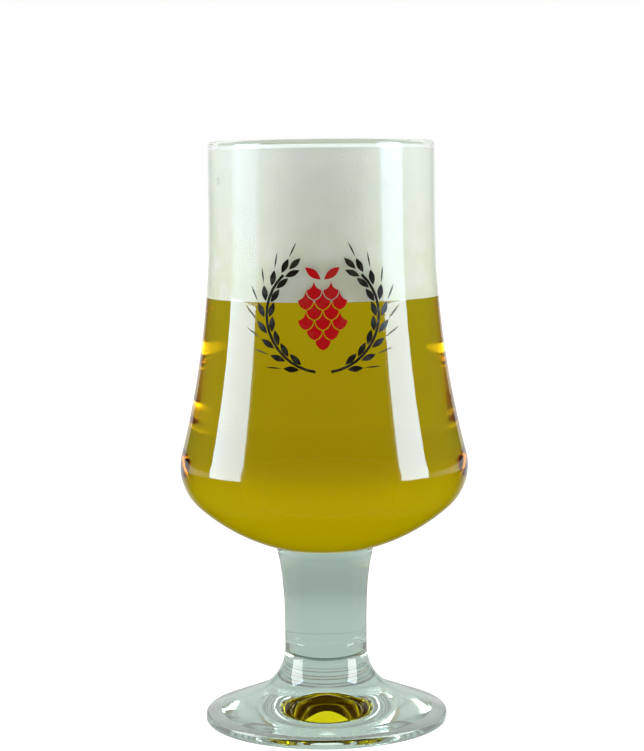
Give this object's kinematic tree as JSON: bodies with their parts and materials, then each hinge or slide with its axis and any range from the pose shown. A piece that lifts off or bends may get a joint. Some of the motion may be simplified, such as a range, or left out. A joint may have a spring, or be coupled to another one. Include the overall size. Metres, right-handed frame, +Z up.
{
  "type": "tulip beer glass",
  "caption": "Stemmed tulip glass with a round belly, straight neck and domed foot, filled with golden beer under a thick white foam head, with a fired enamel print on the front.",
  "frame": {"origin": "on the table, at the middle of the ring that the foot stands on", "axes": "+Z up along the glass's axis, -Y towards the front that carries the print, +X to the right seen from the front"},
  "size_m": [0.0793, 0.0792, 0.16],
  "materials": {
    "bowl_glass": "polished",
    "stem_glass": "polished",
    "foot_glass": "polished",
    "beer": "gloss",
    "foam": "matte",
    "enamel_dark": "satin",
    "enamel_red": "satin"
  },
  "bodies": {
    "root": {"bowl": "bowl_glass", "stem": "stem_glass", "foot": "foot_glass", "beer": "beer", "foam_head": "foam", "print_dark": "enamel_dark", "print_red": "enamel_red"}
  },
  "joints": []
}
